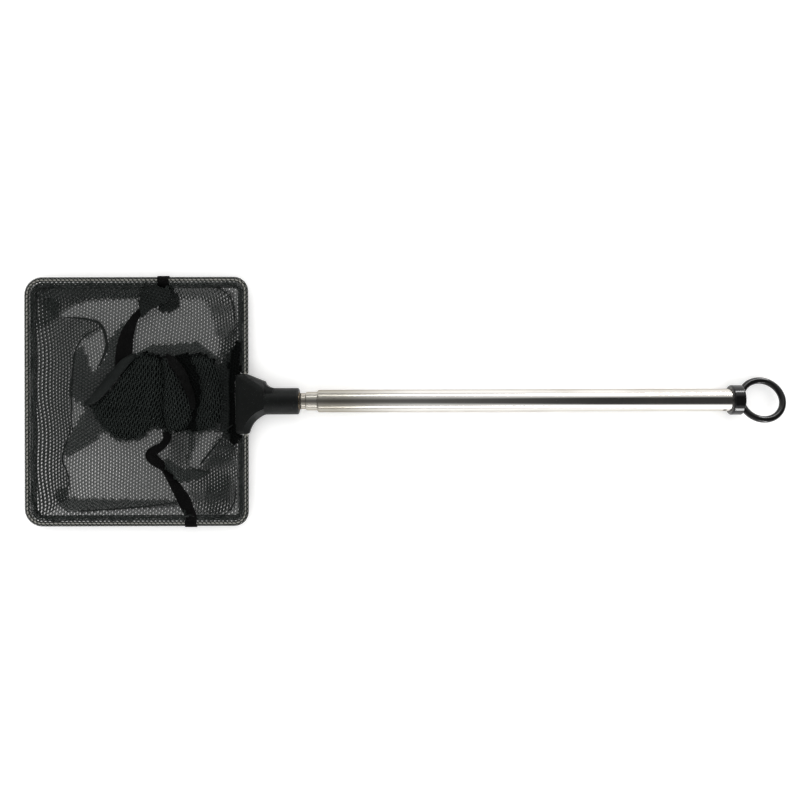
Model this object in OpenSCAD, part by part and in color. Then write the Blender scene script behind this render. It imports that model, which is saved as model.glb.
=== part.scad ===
// Aquarium fish net on a telescopic handle, lying on a table with the handle pushed in.
// X runs along the handle, towards the hanging ring. Z is up and the table is at Z = 0.
// Lengths are in millimetres. Each piece is drawn about the handle's axis, with X = 0 at
// the mouth of the outer tube, and set_down() then moves it to the part's own origin.

/* [Hoop] */
// Length of the hoop along the handle, between wire centres
hoop_l = 131; // [90:1:200]
// Width of the hoop, between wire centres
hoop_w = 146.2; // [110:1:220]
// Radius of the corners on the handle's side, at the wire's centre
near_corner_r = 7; // [5:0.5:15]
// Radius of the corners away from the handle, at the wire's centre
far_corner_r = 9; // [5:0.5:20]
// Diameter of the wire
wire_d = 2.4; // [1.6:0.1:3]
// Distance between the centres of the wire's two ends inside the yoke
leg_gap = 5.6; // [5:0.1:7]
// Radius of the bend from the hoop into each end
leg_bend_r = 3.6; // [3:0.1:6]
// Reach of the wire's ends past the near side of the hoop
leg_reach = 20; // [14:0.5:22]

/* [Net] */
// Outer diameter of the hem round the wire
hem_d = 3.6; // [3.2:0.1:4.8]
// Thickness of the netting that hangs from the hem
net_wall = 1; // [0.8:0.1:2]
// Thickness of the folded netting that lies on the table
net_floor = 1.5; // [1:0.1:3]
// Height of the folded toe of the bag above the netting it lies on
toe_h = 11; // [6:1:20]
// Width of the tape that binds the seams
tape_w = 6.6; // [4:0.1:10]
// Thickness of the tape
tape_t = 0.5; // [0.3:0.1:1]

/* [Yoke] */
// Thickness of the plate that grips the wire
plate_t = 9.6; // [8:0.1:12]
// Reach of the plate into the hoop, from the wire's centre
plate_in = 5.7; // [4:0.1:9]
// Reach of the plate outside the hoop, from the wire's centre
plate_out = 2.9; // [2.5:0.1:5]
// Reach of the plate to the left of the handle's axis
plate_left = 16.4; // [14:0.1:24]
// Reach of the plate to the right of the handle's axis
plate_right = 19.6; // [16:0.1:28]
// Radius of the plate's edges
plate_edge_r = 2.4; // [1:0.1:3]
// Distance from the wire's centre to the joint with the barrel
yoke_l = 12; // [10:0.5:20]
// Radius of the yoke's end where the barrel joins
yoke_end_r = 7.6; // [7:0.1:9]
// How far the yoke's end is carried over to the left, which fills out that shoulder
shoulder_shift = 4.3; // [2:0.1:6]
// Radius of the scoop in the right shoulder
scoop_r = 15; // [10:0.5:24]
// Width of the bevel along the scoop
scoop_bevel = 3.2; // [1:0.1:4]

/* [Barrel and neck] */
// Diameter of the barrel
barrel_d = 16; // [14:0.1:20]
// Length of the barrel
barrel_l = 20.1; // [18:0.1:30]
// Radius of the barrel's end edge
barrel_edge_r = 1.2; // [0.5:0.1:2]
// Diameter of the tenon that the barrel plugs into the yoke
tenon_d = 11; // [10:0.1:12]
// Length of the tenon
tenon_l = 5; // [3:0.1:6]
// Step in the outline where the barrel meets the yoke
joint_step = 1; // [0.3:0.1:1.5]
// Radius of the fillet from the barrel to its left shoulder
shoulder_fillet_r = 5.8; // [3:0.1:9]
// Diameter of the brass insert's knurled body
insert_d = 9.2; // [8.4:0.1:10]
// Length of the insert's body
insert_l = 8; // [6:0.5:9]
// Diameter of the insert's flange
insert_flange_d = 10.6; // [10:0.1:12]
// Thickness of the insert's flange
insert_flange_t = 0.5; // [0.3:0.1:1]
// Diameter of the stud that screws into the insert
stud_d = 6; // [5:0.5:6]
// Outer diameter of the neck washer
washer_d = 9.3; // [8.5:0.1:10]
// Thickness of the neck washer
washer_t = 0.5; // [0.3:0.1:1]

/* [Tubes] */
// Outer diameter of the outer tube
outer_d = 13.5; // [13.5:0.1:16]
// Wall of the outer tube
outer_wall = 0.6; // [0.4:0.05:0.6]
// Length of the outer tube
outer_l = 250; // [180:1:320]
// Outer diameter of the middle tube
middle_d = 11.2; // [11:0.1:11.3]
// Wall of the middle tube
middle_wall = 0.4; // [0.3:0.05:0.4]
// How much of the middle tube stands out when the handle is pushed in
middle_out = 6.9; // [4:0.1:20]
// Outer diameter of the inner tube
inner_d = 9.7; // [9.3:0.1:9.7]
// Wall of the inner tube
inner_wall = 0.5; // [0.3:0.05:0.5]
// How much of the inner tube stands out when the handle is pushed in
inner_out = 3; // [2:0.1:10]
// Gap between a pushed-in tube's tail and what lies behind it
tail_gap = 4; // [2:0.5:10]

/* [Friction sleeves] */
// Length of each split sleeve
sleeve_l = 16; // [10:1:24]
// Width of the slot along each sleeve
sleeve_slot = 1.4; // [0.8:0.1:2]
// Width of the raised bands that rub in the outer tube
band_w = 3; // [2:0.5:5]
// Height of the beads that keep the sleeves on the tubes
bead_h = 0.28; // [0.2:0.01:0.3]

/* [End cap] */
// Diameter of the collar
collar_d = 18; // [17:0.1:22]
// Length of the collar
collar_l = 7.2; // [6:0.1:14]
// Depth of the outer tube in the collar
collar_grip = 2.9; // [2:0.1:5]
// Radius of the collar's edges
collar_edge_r = 1.1; // [0.4:0.1:2]
// Length of the plug in the outer tube
plug_l = 20; // [10:1:30]
// Outer diameter of the hanging ring
ring_d = 28.8; // [24:0.1:40]
// Thickness of the ring
ring_t = 4; // [3:0.1:5]
// Depth of the ring in the collar
ring_sink = 2.2; // [1:0.1:3]
// Turn of the cap about the handle's axis
cap_turn = -20; // [-28:1:28]

/* [Hidden] */

$fn = 96;
// Sides of the rounded parts of a hull
soft_fn = 24;

// Overrun of every cut past the surface it cuts
over = 1;
// Radial play of a tube or sleeve that slides and turns
slide_play = 0.05;
// Play of a piece that is fixed in its seat
seat_play = 0.05;
// Space kept between the netting and what lies next to it
net_gap = 0.3;
// Space between the netting's top edge and the tape round the hem
tape_gap = 0.2;
// Inset of the netting's outer face from the wire's centre
net_inset = 0.6;
// Radius of the netting's corners
net_corner_r = near_corner_r - net_inset;

wire_r = wire_d / 2;
hem_r = hem_d / 2;
// Radius of the hem's bore
hem_bore_r = wire_r + seat_play;

barrel_r = barrel_d / 2;
tenon_r = tenon_d / 2;
insert_r = insert_d / 2;
insert_flange_r = insert_flange_d / 2;
stud_r = stud_d / 2;
washer_r = washer_d / 2;

outer_r = outer_d / 2;
outer_bore_r = outer_r - outer_wall;
middle_r = middle_d / 2;
middle_bore_r = middle_r - middle_wall;
inner_r = inner_d / 2;
inner_bore_r = inner_r - inner_wall;

collar_r = collar_d / 2;
ring_r = ring_t / 2;
// Radius of the ring's centre line
ring_path_r = ring_d / 2 - ring_r;

// Places along the handle, from the ring's end to the hoop
collar_x = outer_l - collar_grip;
collar_end_x = collar_x + collar_l;
ring_x = collar_end_x - ring_sink + ring_d / 2;
plug_x = outer_l - plug_l;
middle_x = -middle_out;
middle_l = plug_x - tail_gap - middle_x;
inner_x = middle_x - inner_out;
inner_l = middle_x + middle_l - tail_gap - inner_x;
insert_x = inner_x - washer_t - insert_flange_t;
joint_x = insert_x - barrel_l;
wire_x = joint_x - yoke_l;
far_x = wire_x - hoop_l;

// The handle's axis lies above the table by the radius of the thickest piece on it
axis_z = max(collar_r, barrel_r, yoke_end_r, plate_t / 2);
low_x = far_x - hem_r;
high_x = ring_x + ring_d / 2;
centre_x = (low_x + high_x) / 2;

half_w = hoop_w / 2;
near_side_y = half_w - near_corner_r;
far_side_y = half_w - far_corner_r;
leg_y = leg_gap / 2;

// The netting below the hem
net_top_z = -hem_r - seat_play - tape_t - tape_gap;
floor_z = -axis_z + net_floor;
net_far_x = far_x + net_inset;
net_near_x = wire_x - net_inset;
net_half_w = half_w - net_inset;

// Route of the seam over the bag's floor, from the left rim to the right rim.
// Each place is a share of the hoop's length from its near side, and of half its width.
left_route_share = [[0.372, 0.985], [0.372, 0.94], [0.455, 0.74], [0.555, 0.375]];
right_route_share = [[0.375, -0.31], [0.385, -0.56], [0.3, -0.8], [0.25, -0.94], [0.25, -0.985]];

// Outline of the folded toe, in the same shares, and the radius of its soft corners
toe_outline_share = [
    [0.465, 0.34], [0.22, 0.37], [0.13, 0.25], [0.12, -0.03],
    [0.17, -0.18], [0.4, -0.18], [0.6, -0.25], [0.69, -0.05], [0.585, 0.17]
];
toe_corner_r = 5;
// Height of the toe at its outline, as a share of its full height
toe_rim_share = 0.55;
// Share by which the toe's crest is drawn in from its outline
toe_crest_share = 0.55;

// Small sizes of the sleeves, beads, lips and lead-ins
bead_r = 0.8;
bead_gap = 0.3;
bead_tail = 3;
sleeve_relief = 0.1;
lead_in = 1;
barb_h = 0.35;
barb_count = 4;

// Moves what is drawn about the handle's axis to the part's origin
module set_down() {
    translate([-centre_x, 0, axis_z]) children();
}

// Turns a profile, drawn as distance along the handle and radius, about the handle's axis
module revolve() {
    rotate([0, 90, 0])
        rotate_extrude()
            rotate([0, 0, 90])
                mirror([0, 1, 0])
                    children();
}

// Carries a flat section straight from p to q
module run(p, q) {
    along = q - p;
    translate([p.x, p.y, 0])
        rotate([0, 90, atan2(along.y, along.x)])
            linear_extrude(norm(along)) children();
}

// Carries a flat section round an arc about c
module turn(c, r, from, to) {
    translate([c.x, c.y, 0])
        rotate([0, 0, from])
            rotate_extrude(angle = to - from)
                translate([r, 0]) children();
}

// Carries a flat section round the hoop, from the yoke's left to its right
module hoop() {
    run([far_x, -far_side_y], [far_x, far_side_y]) children();
    both_sides() {
        run([wire_x, leg_y + leg_bend_r], [wire_x, near_side_y]) children();
        turn([wire_x - near_corner_r, near_side_y], near_corner_r, 0, 90) children();
        run([wire_x - near_corner_r, half_w], [far_x + far_corner_r, half_w]) children();
        turn([far_x + far_corner_r, far_side_y], far_corner_r, 90, 180) children();
    }
}

// Carries a flat section from the hoop into the yoke, on the left of the axis
module leg() {
    turn([wire_x + leg_bend_r, leg_y + leg_bend_r], leg_bend_r, 180, 270) children();
    run([wire_x + leg_bend_r, leg_y], [wire_x + leg_reach, leg_y]) children();
}

// What is drawn, and its mirror image on the other side of the handle's axis
module both_sides() {
    children();
    mirror([0, 1, 0]) children();
}

// The whole wire as a solid of radius r, also used to cut its channels
module wire(r) {
    hoop() circle(r, $fn = 48);
    both_sides() leg() circle(r, $fn = 48);
}

module hoop_wire() {
    color("silver") set_down() wire(wire_r);
}

// Block that holds the yoke's plate and the space round it. The yoke already swells
// towards its end where it crosses the wire, so the block is deeper than the plate.
module plate_room() {
    swell_l = plate_in - plate_edge_r;
    swell = (yoke_end_r - plate_t / 2) * swell_l / (yoke_l - tenon_l / 2 + swell_l);
    low_z = -plate_t / 2 - swell - net_gap;
    room_l = plate_in + plate_out + 2 * net_gap;
    room_w = plate_left + plate_right + 2 * net_gap;
    translate([wire_x - plate_in - net_gap, -plate_right - net_gap, low_z])
        cube([room_l, room_w, plate_t / 2 + over - low_z]);
}

// The hem is a tube of netting round the wire, and stops at each side of the yoke
module hem_casing() {
    color([0.1, 0.1, 0.1])
        set_down()
            difference() {
                hoop()
                    difference() {
                        circle(hem_r, $fn = 48);
                        circle(hem_bore_r, $fn = 48);
                    }
                plate_room();
            }
}

// A rectangle with round corners, between two corners
module round_rect(low, high, r) {
    translate([low.x + r, low.y]) square([high.x - low.x - 2 * r, high.y - low.y]);
    translate([low.x, low.y + r]) square([high.x - low.x, high.y - low.y - 2 * r]);
    for (x = [low.x + r, high.x - r], y = [low.y + r, high.y - r])
        translate([x, y]) circle(r);
}

// The bag as it lies: walls that drop from the hem, and netting spread on the table
module tray() {
    difference() {
        translate([0, 0, -axis_z])
            linear_extrude(net_top_z + axis_z)
                round_rect([net_far_x, -net_half_w], [net_near_x, net_half_w], net_corner_r);
        translate([0, 0, floor_z])
            linear_extrude(net_top_z - floor_z + over)
                round_rect(
                    [net_far_x + net_wall, -net_half_w + net_wall],
                    [net_near_x - net_wall, net_half_w - net_wall],
                    net_corner_r - net_wall
                );
        plate_room();
    }
}

// A place on the hoop from its shares
function on_hoop(share) = [wire_x - share.x * hoop_l, share.y * half_w];
left_route = [for (share = left_route_share) on_hoop(share)];
right_route = [for (share = right_route_share) on_hoop(share)];
toe_outline = [for (share = toe_outline_share) on_hoop(share)];

// All that lies on the far side of the seam
module far_of_seam() {
    edge_y = half_w + over;
    seam = concat([[left_route[0].x, edge_y]], left_route, right_route);
    last_x = right_route[len(right_route) - 1].x;
    translate([0, 0, -axis_z - over])
        linear_extrude(axis_z + over)
            polygon(concat(
                seam,
                [[last_x, -edge_y], [far_x - over, -edge_y], [far_x - over, edge_y]]
            ));
}

module far_panel() {
    color([0.13, 0.13, 0.13])
        set_down()
            intersection() {
                tray();
                far_of_seam();
            }
}

module near_panel() {
    color([0.17, 0.17, 0.17])
        set_down()
            difference() {
                tray();
                far_of_seam();
            }
}

// The toe lies on the bag's floor as one soft heap with a lower rim
module net_toe() {
    middle = [wire_x - toe_x_share() * hoop_l, toe_y_share() * half_w];
    color([0.08, 0.08, 0.08])
        set_down()
            translate([0, 0, floor_z])
                hull()
                    for (place = toe_outline) {
                        translate(place)
                            cylinder(h = toe_rim_share * toe_h, r = toe_corner_r, $fn = soft_fn);
                        translate(middle + toe_crest_share * (place - middle))
                            cylinder(h = toe_h, r = toe_corner_r, $fn = soft_fn);
                    }
}

// The toe's middle, as the mean of its outline's shares
function toe_x_share() = mean([for (share = toe_outline_share) share.x]);
function toe_y_share() = mean([for (share = toe_outline_share) share.y]);
function mean(values) = (values * [for (value = values) 1]) / len(values);

// Direction of a route's stretch number i
function heading(route, i) =
    let (along = route[i + 1] - route[i])
    along / norm(along);

// Step from a route's point to the tape's left edge, mitred where the route turns
function edge_step(route, i) =
    let (
        before = heading(route, max(i - 1, 0)),
        after = heading(route, min(i, len(route) - 2)),
        middle = (before + after) / norm(before + after)
    )
    [-middle.y, middle.x] * tape_w / 2 / (middle * before);

// A flat band of the tape's width along a route
module band(route) {
    last = len(route) - 1;
    polygon(concat(
        [for (i = [0:last]) route[i] + edge_step(route, i)],
        [for (i = [last:-1:0]) route[i] - edge_step(route, i)]
    ));
}

// Tape round the hem at x, on the left of the axis, and down the inside of the wall
module rim_tape(x) {
    wall_reach = net_inset + net_wall + tape_t;
    translate([x - tape_w / 2, half_w, 0])
        rotate([0, 90, 0])
            linear_extrude(tape_w)
                difference() {
                    union() {
                        circle(hem_r + seat_play + tape_t);
                        translate([0, -wall_reach]) square([-floor_z, tape_t]);
                        translate([0, -wall_reach]) square([tape_t, wall_reach]);
                    }
                    circle(hem_r + seat_play);
                }
}

// Tape on the floor of the bag, kept clear of the wall and of the toe
module floor_tape(route) {
    translate([0, 0, floor_z])
        linear_extrude(tape_t)
            intersection() {
                band(route);
                round_rect(
                    [net_far_x + net_wall, -net_half_w + net_wall],
                    [net_near_x - net_wall, net_half_w - net_wall],
                    net_corner_r - net_wall
                );
            }
}

module left_seam_tape() {
    color([0.05, 0.05, 0.05])
        set_down() {
            rim_tape(left_route[0].x);
            floor_tape(left_route);
        }
}

module right_seam_tape() {
    color([0.05, 0.05, 0.05])
        set_down() {
            mirror([0, 1, 0]) rim_tape(right_route[len(right_route) - 1].x);
            floor_tape(right_route);
        }
}

// One round corner of the yoke's plate
module plate_corner(x, y) {
    for (z = [-1, 1] * (plate_t / 2 - plate_edge_r))
        translate([x, y, z]) sphere(plate_edge_r, $fn = soft_fn);
}

// Flat plate over the wire, drawn out to a round end at the barrel
module yoke_body() {
    end_t = tenon_l / 2;
    hull() {
        for (x = [wire_x - plate_in + plate_edge_r, wire_x + plate_out - plate_edge_r]) {
            plate_corner(x, plate_left - plate_edge_r);
            plate_corner(x, -plate_right + plate_edge_r);
        }
        for (y = [shoulder_shift, -shoulder_shift / 2])
            translate([joint_x - end_t, y, 0])
                rotate([0, 90, 0])
                    cylinder(h = end_t, r = yoke_end_r, $fn = 2 * soft_fn);
    }
}

// Scoop with a bevelled edge, tangent to the plate's outer side and ending at the barrel
module shoulder_scoop() {
    side_x = wire_x + plate_out - over;
    scoop_x = side_x + scoop_r;
    scoop_y = -barrel_r - sqrt(scoop_r ^ 2 - (scoop_x - joint_x) ^ 2);
    waist = plate_t / 6;
    top = waist + scoop_bevel;
    far = barrel_r + over;
    translate([scoop_x, scoop_y, 0])
        rotate_extrude()
            polygon([
                [0, -far], [scoop_r + scoop_bevel, -far], [scoop_r + scoop_bevel, -top],
                [scoop_r, -waist], [scoop_r, waist],
                [scoop_r + scoop_bevel, top], [scoop_r + scoop_bevel, far], [0, far]
            ]);
}

module yoke() {
    color([0.09, 0.09, 0.09])
        set_down()
            difference() {
                yoke_body();
                shoulder_scoop();
                wire(wire_r + seat_play);
                translate([joint_x - tenon_l - seat_play, 0, 0])
                    rotate([0, 90, 0])
                        cylinder(h = tenon_l + seat_play + over, r = tenon_r + seat_play);
            }
}

// Fillet on the left of the barrel, which carries on the yoke's fuller shoulder
module barrel_shoulder() {
    rise = shoulder_shift + yoke_end_r - joint_step - barrel_r;
    reach = sqrt(shoulder_fillet_r ^ 2 - (shoulder_fillet_r - rise) ^ 2);
    intersection() {
        translate([0, 0, -barrel_r])
            linear_extrude(barrel_d)
                difference() {
                    translate([joint_x, 0]) square([reach, barrel_r + rise]);
                    translate([joint_x + reach, barrel_r + shoulder_fillet_r])
                        circle(shoulder_fillet_r);
                }
        translate([joint_x, shoulder_shift, 0])
            rotate([0, 90, 0])
                cylinder(h = reach, r = yoke_end_r - joint_step);
    }
}

module socket_barrel() {
    color([0.12, 0.12, 0.12])
        set_down()
            difference() {
                union() {
                    revolve() {
                        translate([joint_x - tenon_l, 0]) square([tenon_l + over, tenon_r]);
                        translate([joint_x, 0]) square([barrel_l, barrel_r - barrel_edge_r]);
                        translate([joint_x, 0]) square([barrel_l - barrel_edge_r, barrel_r]);
                        translate([insert_x - barrel_edge_r, barrel_r - barrel_edge_r])
                            circle(barrel_edge_r);
                    }
                    barrel_shoulder();
                }
                wire(wire_r + seat_play);
                translate([insert_x - insert_l - barb_h, 0, 0])
                    rotate([0, 90, 0])
                        cylinder(h = insert_l + barb_h + over, r = insert_r + seat_play);
            }
}

// Flange on the barrel's end, and a body with barbs that hold it in the plastic
module thread_insert() {
    barb_l = insert_l / barb_count;
    color("goldenrod")
        set_down()
            revolve()
                difference() {
                    union() {
                        translate([insert_x, 0]) square([insert_flange_t, insert_flange_r]);
                        for (i = [1:barb_count])
                            translate([insert_x - i * barb_l, 0])
                                polygon([
                                    [0, 0], [barb_l, 0], [barb_l, insert_r], [0, insert_r - barb_h]
                                ]);
                    }
                    translate([insert_x - insert_l - over, -over])
                        square([
                            insert_l + insert_flange_t + 2 * over, over + stud_r + seat_play
                        ]);
                }
}

module neck_washer() {
    color([0.06, 0.06, 0.06])
        set_down()
            revolve()
                translate([inner_x - washer_t, stud_r + seat_play])
                    square([washer_t, washer_r - stud_r - seat_play]);
}

// Plug inside the inner tube's end, with the stud that screws into the insert
module stud_plug() {
    stud_l = washer_t + insert_flange_t + insert_l;
    plug_body_l = 2 * inner_bore_r;
    color([0.6, 0.6, 0.6])
        set_down()
            revolve() {
                translate([inner_x, 0]) square([plug_body_l, inner_bore_r - seat_play]);
                translate([inner_x - stud_l, 0])
                    polygon([
                        [0, 0], [stud_l + over, 0], [stud_l + over, stud_r],
                        [lead_in, stud_r], [0, stud_r - lead_in]
                    ]);
            }
}

// Half section of a tube's wall from its mouth, rolled in until its hole has radius hole_r
module rolled_wall(x, l, r, wall, hole_r) {
    roll_r = r - hole_r;
    translate([x + roll_r, r - wall]) square([l - roll_r, wall]);
    intersection() {
        translate([x + roll_r, r - roll_r])
            difference() {
                circle(roll_r);
                if (roll_r > wall)
                    circle(roll_r - wall);
            }
        translate([x, r - roll_r]) square(roll_r);
    }
}

// Rolled beads in front of and behind a sleeve of the tube's tail
module beads(sleeve_x, r) {
    for (x = [sleeve_x - bead_gap - bead_r, sleeve_x + sleeve_l + bead_gap + bead_r])
        translate([x, r + bead_h - bead_r]) circle(bead_r);
}

// Grooves that the beads leave inside the tube, so the wall keeps its thickness
module bead_grooves(sleeve_x, r, wall) {
    for (x = [sleeve_x - bead_gap - bead_r, sleeve_x + sleeve_l + bead_gap + bead_r])
        translate([x, r + bead_h - bead_r]) circle(bead_r - wall);
}

// Where a tube's sleeve starts, from the end of its tail
function sleeve_start(x, l) = x + l - bead_tail - bead_gap - bead_r - sleeve_l;

// Split sleeve that rubs in a bore with two raised bands
module friction_sleeve(x, tube_r, bore_r) {
    rub_r = bore_r - slide_play;
    difference() {
        revolve()
            difference() {
                union() {
                    translate([x, 0]) square([sleeve_l, rub_r - sleeve_relief]);
                    for (start = [x + bead_gap, x + sleeve_l - band_w - bead_gap])
                        translate([start, 0]) square([band_w, rub_r]);
                }
                translate([x - over, -over])
                    square([sleeve_l + 2 * over, over + tube_r + slide_play]);
            }
        translate([x - over, -sleeve_slot / 2, 0])
            cube([sleeve_l + 2 * over, sleeve_slot, rub_r + over]);
    }
}

module sliding_tube(x, l, r, wall, hole_r) {
    sleeve_x = sleeve_start(x, l);
    revolve()
        difference() {
            union() {
                rolled_wall(x, l, r, wall, hole_r);
                intersection() {
                    beads(sleeve_x, r);
                    translate([x, r - wall]) square([l, wall + bead_h]);
                }
            }
            bead_grooves(sleeve_x, r, wall);
        }
}

module inner_tube() {
    color([0.75, 0.75, 0.73])
        set_down()
            sliding_tube(inner_x, inner_l, inner_r, inner_wall, inner_bore_r);
}

module inner_friction_sleeve() {
    color([0.8, 0.6, 0.3])
        set_down()
            friction_sleeve(sleeve_start(inner_x, inner_l), inner_r, middle_bore_r);
}

module middle_tube() {
    color([0.7, 0.7, 0.68])
        set_down()
            sliding_tube(middle_x, middle_l, middle_r, middle_wall, inner_r + slide_play);
}

module middle_friction_sleeve() {
    color([0.8, 0.6, 0.3])
        set_down()
            friction_sleeve(sleeve_start(middle_x, middle_l), middle_r, outer_bore_r);
}

module outer_tube() {
    color([0.78, 0.78, 0.76])
        set_down()
            revolve()
                rolled_wall(0, outer_l, outer_r, outer_wall, middle_r + slide_play);
}

// Plug, collar and hanging ring in one moulding, turned a little about the handle's axis
module end_cap() {
    plug_r = outer_bore_r - seat_play;
    color([0.04, 0.04, 0.04])
        set_down() {
            revolve()
                difference() {
                    union() {
                        translate([collar_x, 0])
                            square([collar_l, collar_r - collar_edge_r]);
                        translate([collar_x + collar_edge_r, 0])
                            square([collar_l - 2 * collar_edge_r, collar_r]);
                        for (x = [collar_x + collar_edge_r, collar_end_x - collar_edge_r])
                            translate([x, collar_r - collar_edge_r]) circle(collar_edge_r);
                        translate([plug_x, 0])
                            polygon([
                                [0, 0], [plug_l, 0], [plug_l, plug_r],
                                [lead_in, plug_r], [0, plug_r - lead_in]
                            ]);
                    }
                    translate([collar_x - over, plug_r])
                        square([collar_grip + over, outer_r + seat_play - plug_r]);
                }
            rotate([cap_turn, 0, 0])
                translate([ring_x, 0, 0])
                    rotate_extrude()
                        translate([ring_path_r, 0]) circle(ring_r, $fn = 48);
        }
}

hoop_wire();
hem_casing();
far_panel();
near_panel();
net_toe();
left_seam_tape();
right_seam_tape();
yoke();
socket_barrel();
thread_insert();
neck_washer();
stud_plug();
inner_tube();
inner_friction_sleeve();
middle_tube();
middle_friction_sleeve();
outer_tube();
end_cap();
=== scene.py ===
import math

import bpy
import numpy as np
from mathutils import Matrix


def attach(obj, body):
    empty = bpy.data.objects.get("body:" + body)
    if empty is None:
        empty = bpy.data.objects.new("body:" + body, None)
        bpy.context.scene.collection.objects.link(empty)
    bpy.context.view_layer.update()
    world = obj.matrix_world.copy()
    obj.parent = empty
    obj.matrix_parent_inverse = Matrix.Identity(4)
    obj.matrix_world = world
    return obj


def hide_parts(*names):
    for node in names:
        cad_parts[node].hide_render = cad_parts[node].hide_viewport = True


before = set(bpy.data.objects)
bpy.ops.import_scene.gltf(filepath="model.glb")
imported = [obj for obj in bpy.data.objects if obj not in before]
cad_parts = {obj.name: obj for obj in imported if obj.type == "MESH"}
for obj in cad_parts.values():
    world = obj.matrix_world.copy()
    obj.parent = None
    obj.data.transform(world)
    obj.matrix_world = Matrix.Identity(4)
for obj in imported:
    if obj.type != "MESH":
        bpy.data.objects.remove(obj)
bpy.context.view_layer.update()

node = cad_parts

# Camera. It looks straight down at the part lying on the table, from about half a metre, a
# little off the middle of the part and turned so that the handle rises slightly to the right.
camera_place = (-0.00306, 0.00052, 0.537)
camera_roll = math.radians(-0.165)
lens_mm = 39.6
sensor_mm = 36.0

camera = bpy.data.objects.new("camera", bpy.data.cameras.new("camera"))
camera.data.lens = lens_mm
camera.data.sensor_width = sensor_mm
camera.location = camera_place
camera.rotation_euler = (0.0, 0.0, camera_roll)
bpy.context.scene.collection.objects.link(camera)
bpy.context.scene.camera = camera

# Outer tube. The long stainless tube that is held in the hand: drawn, polished along its
# length and rolled inwards at the mouth. Handling leaves fine lengthwise lines and a dull film,
# and towards the mouth the colour is darkened as painted shade.
steel_colour = (0.80, 0.78, 0.745, 1.0)
film_colour = (0.52, 0.48, 0.42, 1.0)
film_strength = 0.45
# The edge tint darkens the metal's reflection towards grazing angles: painted shade for the shadowed table
# beside the tube that its edges mirror.
edge_shade_tint = (0.50, 0.46, 0.42, 1.0)
pit_colour = (0.06, 0.05, 0.04, 1.0)
pit_density = 900.0
# Towards the mouth the colour is multiplied down by this share: painted shade for the dimmer reflections
# there.
mouth_painted_shade = (0.53, 0.52, 0.48, 1.0)
dull_roughness = 0.2
dull_from_x = 0.012
dull_to_x = -0.045
nick_colour = (0.05, 0.045, 0.04, 1.0)
nick_place = (0.1907, -0.0060, 0.0120)
nick_size = (0.0015, 0.0006, 0.0012)


def feed(made, sockets):
    """Gives a node's sockets their values or links. A node stands for its first output in use."""
    for socket, given in sockets.items():
        if isinstance(given, bpy.types.Node):
            given = next(output for output in given.outputs if output.enabled)
        if isinstance(given, bpy.types.NodeSocket):
            made.id_data.links.new(given, made.inputs[socket])
        else:
            made.inputs[socket].default_value = given


def add(tree, kind, sockets=(), **settings):
    """A new shader node with its settings, and its sockets' values or links."""
    made = tree.nodes.new("ShaderNode" + kind)
    for name, value in settings.items():
        setattr(made, name, value)
    feed(made, dict(sockets))
    return made


def shader_of(material):
    """A material's Principled shader."""
    return material.node_tree.nodes["Principled BSDF"]


def material_of(name, sockets):
    """A new material, its node tree, and its Principled shader with values on its own sockets."""
    material = bpy.data.materials.new(name)
    material.use_nodes = True
    feed(shader_of(material), sockets)
    return material, material.node_tree, shader_of(material)


def mix_into(shader, socket, mask, value, kind="RGBA", blend="MIX"):
    """Mixes a value, as far as a mask says, into what already feeds a shader's socket."""
    source = shader.inputs[socket].links[0].from_socket
    mixed = add(shader.id_data, "Mix", {"A": source, "B": value, "Factor": mask}, data_type=kind,
                blend_type=blend)
    feed(shader, {socket: mixed})


def new_group(name, inputs, outputs):
    """An empty shader node group with a vector and numbers going in, and numbers coming out: the
    group, the sockets that bring its inputs, and its last node."""
    group = bpy.data.node_groups.new(name, "ShaderNodeTree")
    for sockets, way in ((inputs, "INPUT"), (outputs, "OUTPUT")):
        for socket in sockets:
            kind = "NodeSocketVector" if socket == "Vector" else "NodeSocketFloat"
            group.interface.new_socket(name=socket, in_out=way, socket_type=kind)
    return group, group.nodes.new("NodeGroupInput").outputs, group.nodes.new("NodeGroupOutput")


def drawn_lines_group():
    """Fine lines along X: noise stretched along X, as a height, and slow clouds as a film mask."""
    group, given, result = new_group(
        "drawn lines", ["Vector", "Line density", "Film size"], ["Height", "Film"])
    stretch = add(group, "Mapping", {"Scale": (0.012, 1.0, 1.0), "Vector": given["Vector"]})
    lines = add(group, "TexNoise", {"Detail": 3.0, "Roughness": 0.6, "Vector": stretch,
                                    "Scale": given["Line density"]})
    drawn_out = add(group, "Mapping", {"Scale": (0.25, 1.0, 1.0), "Vector": given["Vector"]})
    clouds = add(group, "TexNoise", {"Detail": 4.0, "Roughness": 0.55, "Vector": drawn_out,
                                     "Scale": given["Film size"]})
    film = add(group, "MapRange", {"From Min": 0.42, "From Max": 0.72, "Value": clouds},
               interpolation_type="SMOOTHSTEP")
    feed(result, {"Height": lines, "Film": film})
    return group


def specks_group():
    """Small specks: the cores of the cells of a fine pattern. A cell has one when the red of its
    colour is less than the share."""
    group, given, result = new_group("specks", ["Vector", "Density", "Share"], ["Speck"])
    cells = add(group, "TexVoronoi", {"Vector": given["Vector"], "Scale": given["Density"]})
    core = add(group, "MapRange", {"From Min": 0.22, "From Max": 0.08, "Value": cells})
    colours = add(group, "SeparateColor", {"Color": cells.outputs["Color"]})
    chosen = add(group, "Math", {0: colours.outputs["Red"], 1: given["Share"]}, operation="LESS_THAN")
    speck = add(group, "Math", {0: core, 1: chosen}, operation="MULTIPLY")
    feed(result, {"Speck": speck})
    return group


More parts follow.
